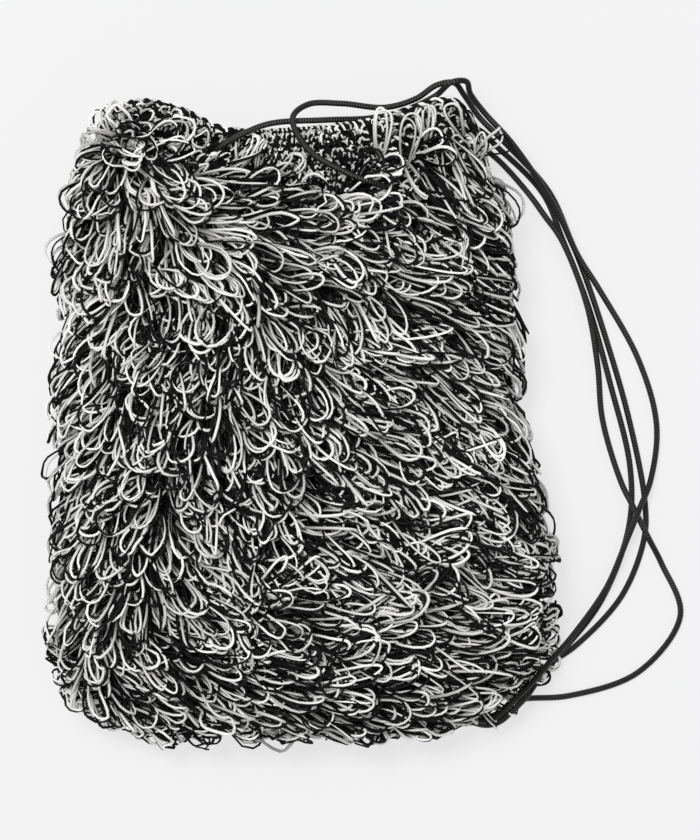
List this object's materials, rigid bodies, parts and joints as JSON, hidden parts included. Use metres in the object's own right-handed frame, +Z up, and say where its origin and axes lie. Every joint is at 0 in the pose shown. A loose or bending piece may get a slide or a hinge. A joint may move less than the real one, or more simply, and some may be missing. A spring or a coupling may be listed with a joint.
{
  "type": "drawstring string bag",
  "caption": "Soft crocheted pouch bag covered in black and off-white loop pile, lying on its back with its mouth open and its paired drawcords trailing beside it.",
  "frame": {"origin": "a point on the flat underside that the pouch lies on, below the middle of the pouch", "axes": "+Z up from the surface, out of the pouch's front; +Y from its base towards its mouth; the drawcords trail on the +X side"},
  "size_m": [0.3207, 0.3409, 0.0797],
  "materials": {
    "shell_yarn": "matt cotton crochet, black and off-white yarns worked together",
    "pile_dark": "matt cotton loop pile, black and off-white",
    "pile_light": "matt cotton loop pile, black and off-white",
    "cord": "satin round braided cord, black"
  },
  "bodies": {
    "root": {"crochet_shell": "shell_yarn", "loop_row_01": "pile_dark", "loop_row_02": "pile_light", "loop_row_03": "pile_dark", "loop_row_04": "pile_light", "loop_row_05": "pile_dark", "loop_row_06": "pile_light", "loop_row_07": "pile_dark", "loop_row_08": "pile_light", "loop_row_09": "pile_dark", "loop_row_10": "pile_light", "back_pile": "pile_dark", "drawcord_1": "cord", "drawcord_2": "cord"}
  },
  "joints": []
}
